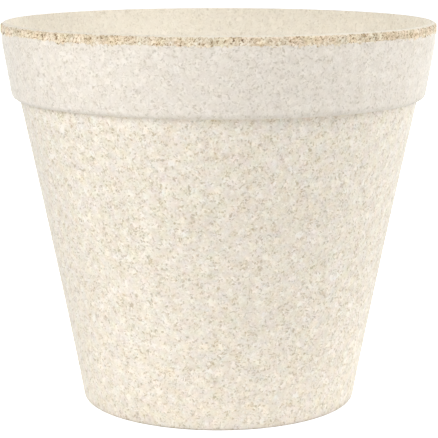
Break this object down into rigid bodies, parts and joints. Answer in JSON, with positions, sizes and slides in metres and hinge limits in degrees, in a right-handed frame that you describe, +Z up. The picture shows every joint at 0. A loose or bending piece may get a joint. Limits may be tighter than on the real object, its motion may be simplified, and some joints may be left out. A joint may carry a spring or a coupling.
{
  "type": "flower pot",
  "caption": "Tapered round plant pot with a stepped collar, a ground fibre edge round its lip and drain holes through a recessed floor.",
  "frame": {"origin": "centre of the foot, on the surface that the pot stands on", "axes": "+Z up along the pot's axis of turning, +X through one of the drain holes in the ring"},
  "size_m": [0.2, 0.2, 0.177],
  "materials": {
    "fibre_composite": "matte",
    "ground_edge": "matte"
  },
  "bodies": {
    "root": {"pot": "fibre_composite"}
  },
  "joints": []
}
